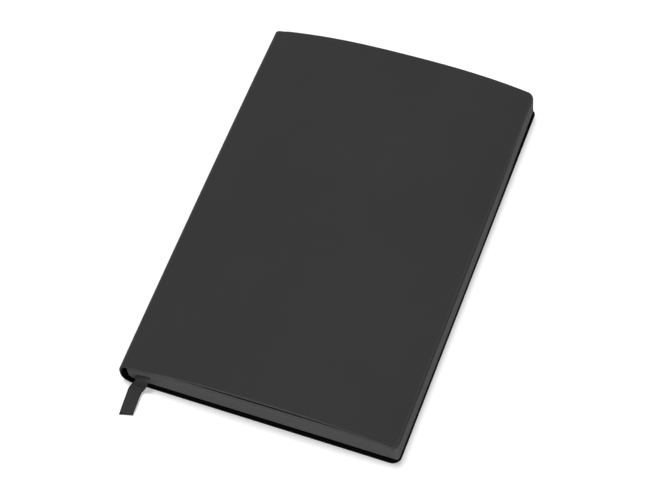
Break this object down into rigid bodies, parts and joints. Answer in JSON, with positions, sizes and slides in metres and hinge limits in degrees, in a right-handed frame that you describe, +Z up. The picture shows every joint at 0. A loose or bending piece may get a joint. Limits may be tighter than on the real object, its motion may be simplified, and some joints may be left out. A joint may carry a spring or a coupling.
{
  "type": "business notebook",
  "caption": "A5 soft-cover notebook with a wrap-round cover, stiff back board, hollow spine, dyed page edges and a ribbon bookmark.",
  "frame": {"origin": "centre of the back cover's underside, on the surface that the closed notebook rests on", "axes": "+X from the spine to the fore-edge, +Y from the tail to the head, +Z up through the pages to the front cover"},
  "size_m": [0.144, 0.2275, 0.023],
  "materials": {
    "cover_skin": "soft-touch matte, dark charcoal",
    "board": "matte black board",
    "page_edges": "matte dyed paper, dark grey",
    "endpaper": "matte laid paper, near black",
    "lining": "matte glued gauze",
    "ribbon": "woven satin ribbon, dark charcoal"
  },
  "bodies": {
    "text_block": {"page_block": "page_edges", "spine_cover": "cover_skin", "front_flyleaf": "endpaper", "back_flyleaf": "endpaper", "spine_lining": "lining", "ribbon_bookmark": "ribbon"},
    "front_panel": {"front_cover": "cover_skin", "front_pastedown": "endpaper"},
    "back_panel": {"back_cover": "cover_skin", "back_board": "board", "back_pastedown": "endpaper"}
  },
  "joints": [
    {"name": "front_cover_fold", "type": "hinge", "parent": "text_block", "child": "front_panel", "pos_m": [-0.06695, 0, 0.015], "axis": [0, -1, 0], "range_deg": [0, 178]},
    {"name": "back_cover_fold", "type": "hinge", "parent": "text_block", "child": "back_panel", "pos_m": [-0.06695, 0, -0.0003], "axis": [0, 1, 0], "range_deg": [0, 178]}
  ]
}
